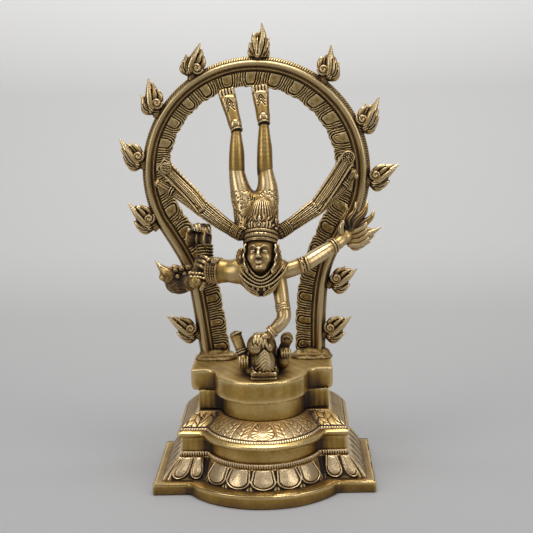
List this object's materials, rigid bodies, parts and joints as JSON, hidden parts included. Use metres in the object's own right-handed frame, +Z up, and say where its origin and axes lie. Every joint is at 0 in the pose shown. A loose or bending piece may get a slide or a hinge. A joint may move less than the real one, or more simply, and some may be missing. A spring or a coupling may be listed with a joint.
{
  "type": "brass nataraja statue",
  "caption": "Cast brass dancing figure balanced on one hand over a dwarf, inside a flaming arch on a stepped, bow-fronted lotus pedestal.",
  "frame": {"origin": "middle of the footprint, on the floor", "axes": "+Z up, front faces -Y, +X to the viewer's right"},
  "size_m": [0.191, 0.1142, 0.3048],
  "materials": {
    "pedestal_brass": "satin brass, filed and brushed, brown patina in the corners",
    "lotus_brass": "chased brass, polished petals over dark brown ground",
    "arch_brass": "chased brass, polished rim over a dark sunk band",
    "braze": "dark lumpy brazing metal",
    "figure_brass": "polished brass with brown patina in the folds",
    "engraved_brass": "engraved brass with dark brown lines",
    "dark_brass": "heavily patinated brass",
    "flame_brass": "bright filed brass tongues with dark grooves"
  },
  "bodies": {
    "root": {"base_plate": "pedestal_brass", "lower_lotus": "lotus_brass", "rope_ring": "lotus_brass", "lower_neck": "pedestal_brass", "rim_moulding": "pedestal_brass", "upper_lotus": "lotus_brass", "upper_neck": "pedestal_brass", "top_slab": "pedestal_brass", "arch": "arch_brass", "foot_fillets": "braze", "torso": "figure_brass", "necklace": "engraved_brass", "garment": "engraved_brass", "left_leg": "figure_brass", "right_leg": "figure_brass", "head": "figure_brass", "earrings": "engraved_brass", "crown": "engraved_brass", "hair_left": "engraved_brass", "hair_right": "engraved_brass", "drum_arm": "figure_brass", "drum": "dark_brass", "fist_arm": "figure_brass", "flame_arm": "figure_brass", "hand_flame": "figure_brass", "support_arm": "figure_brass", "dwarf_body": "dark_brass", "dwarf_head": "dark_brass", "dwarf_arms": "dark_brass", "flame_top": "flame_brass", "flame_left_1": "flame_brass", "flame_left_2": "flame_brass", "flame_left_3": "flame_brass", "flame_left_4": "flame_brass", "flame_left_5": "flame_brass", "flame_left_6": "flame_brass", "flame_right_1": "flame_brass", "flame_right_2": "flame_brass", "flame_right_3": "flame_brass", "flame_right_4": "flame_brass", "flame_right_5": "flame_brass", "flame_right_6": "flame_brass"}
  },
  "joints": []
}
